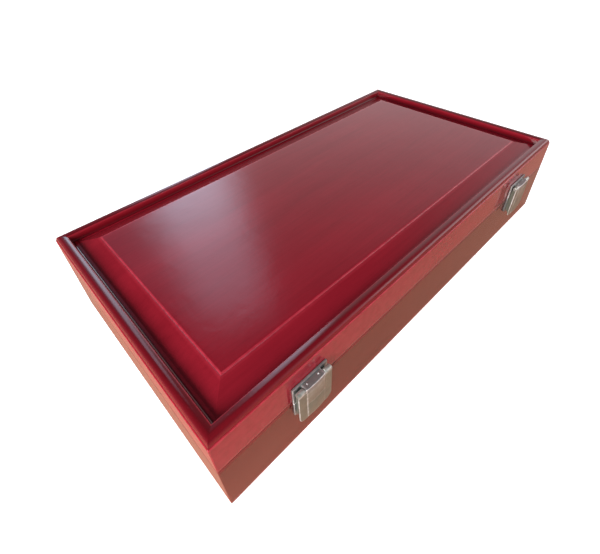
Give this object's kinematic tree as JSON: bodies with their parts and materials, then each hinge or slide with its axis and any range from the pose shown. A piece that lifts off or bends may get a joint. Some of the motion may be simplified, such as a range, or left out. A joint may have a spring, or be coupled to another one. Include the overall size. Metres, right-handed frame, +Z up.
{
  "type": "poker chip case",
  "caption": "Lacquered wooden poker chip case with a raised-panel moulded lid, front latches, rear hinges and lift-out chip trays beside card and dice wells.",
  "frame": {"origin": "centre of the whole object's bounding box in x and y, on the surface that the case stands on", "axes": "+X along the case's length, to the right as seen from the latches; -Y towards the latches; +Z up"},
  "size_m": [0.5, 0.2762, 0.0985],
  "materials": {
    "lacquer": "gloss lacquered mahogany",
    "base_lacquer": "gloss lacquered mahogany",
    "bottom_board": "plain stained plywood",
    "tray_wood": "satin stained wood",
    "felt": "felt",
    "nickel": "satin nickel plate",
    "hinge_steel": "satin plated steel"
  },
  "bodies": {
    "base": {"base_back_board": "base_lacquer", "base_bottom_panel": "bottom_board", "base_floor_felt": "felt", "base_front_board": "base_lacquer", "base_left_board": "base_lacquer", "base_right_board": "base_lacquer", "hinge_left_base_leaf": "hinge_steel", "hinge_left_base_leaf_screw_left": "hinge_steel", "hinge_left_base_leaf_screw_right": "hinge_steel", "hinge_left_pin": "hinge_steel", "hinge_right_base_leaf": "hinge_steel", "hinge_right_base_leaf_screw_left": "hinge_steel", "hinge_right_base_leaf_screw_right": "hinge_steel", "hinge_right_pin": "hinge_steel", "latch_left_base_plate": "nickel", "latch_left_base_plate_screw": "nickel", "latch_right_base_plate": "nickel", "latch_right_base_plate_screw": "nickel", "well_cross_divider_back": "tray_wood", "well_cross_divider_front": "tray_wood", "well_divider_left": "tray_wood", "well_divider_right": "tray_wood"},
    "lid": {"hinge_left_lid_leaf": "hinge_steel", "hinge_left_lid_leaf_screw_left": "hinge_steel", "hinge_left_lid_leaf_screw_right": "hinge_steel", "hinge_right_lid_leaf": "hinge_steel", "hinge_right_lid_leaf_screw_left": "hinge_steel", "hinge_right_lid_leaf_screw_right": "hinge_steel", "latch_left_lid_plate": "nickel", "latch_left_lid_plate_screw": "nickel", "latch_left_pin": "nickel", "latch_right_lid_plate": "nickel", "latch_right_lid_plate_screw": "nickel", "latch_right_pin": "nickel", "lid_back_rail": "lacquer", "lid_front_rail": "lacquer", "lid_left_rail": "lacquer", "lid_lining": "felt", "lid_raised_panel": "lacquer", "lid_right_rail": "lacquer"},
    "latch_left_cover": {"latch_left_cover": "nickel"},
    "latch_right_cover": {"latch_right_cover": "nickel"},
    "tray_left": {"tray_left_back_rail": "tray_wood", "tray_left_floor": "tray_wood", "tray_left_front_rail": "tray_wood", "tray_left_left_end": "tray_wood", "tray_left_rib_1": "tray_wood", "tray_left_rib_2": "tray_wood", "tray_left_rib_3": "tray_wood", "tray_left_rib_4": "tray_wood", "tray_left_right_end": "tray_wood"},
    "tray_right": {"tray_right_back_rail": "tray_wood", "tray_right_floor": "tray_wood", "tray_right_front_rail": "tray_wood", "tray_right_left_end": "tray_wood", "tray_right_rib_1": "tray_wood", "tray_right_rib_2": "tray_wood", "tray_right_rib_3": "tray_wood", "tray_right_rib_4": "tray_wood", "tray_right_right_end": "tray_wood"}
  },
  "joints": [
    {"name": "lid_hinge", "type": "hinge", "parent": "base", "child": "lid", "pos_m": [0, 0.13565, 0.0605], "axis": [-1, 0, 0], "range_deg": [0, 95]},
    {"name": "latch_left_hinge", "type": "hinge", "parent": "lid", "child": "latch_left_cover", "pos_m": [-0.169, -0.13535, 0.075], "axis": [-1, 0, 0], "range_deg": [0, 110]},
    {"name": "latch_right_hinge", "type": "hinge", "parent": "lid", "child": "latch_right_cover", "pos_m": [0.169, -0.13535, 0.075], "axis": [-1, 0, 0], "range_deg": [0, 110]},
    {"name": "tray_left_lift", "type": "slide", "parent": "base", "child": "tray_left", "axis": [0, 0, 1], "range_m": [0, 0.025]},
    {"name": "tray_right_lift", "type": "slide", "parent": "base", "child": "tray_right", "axis": [0, 0, 1], "range_m": [0, 0.025]}
  ]
}
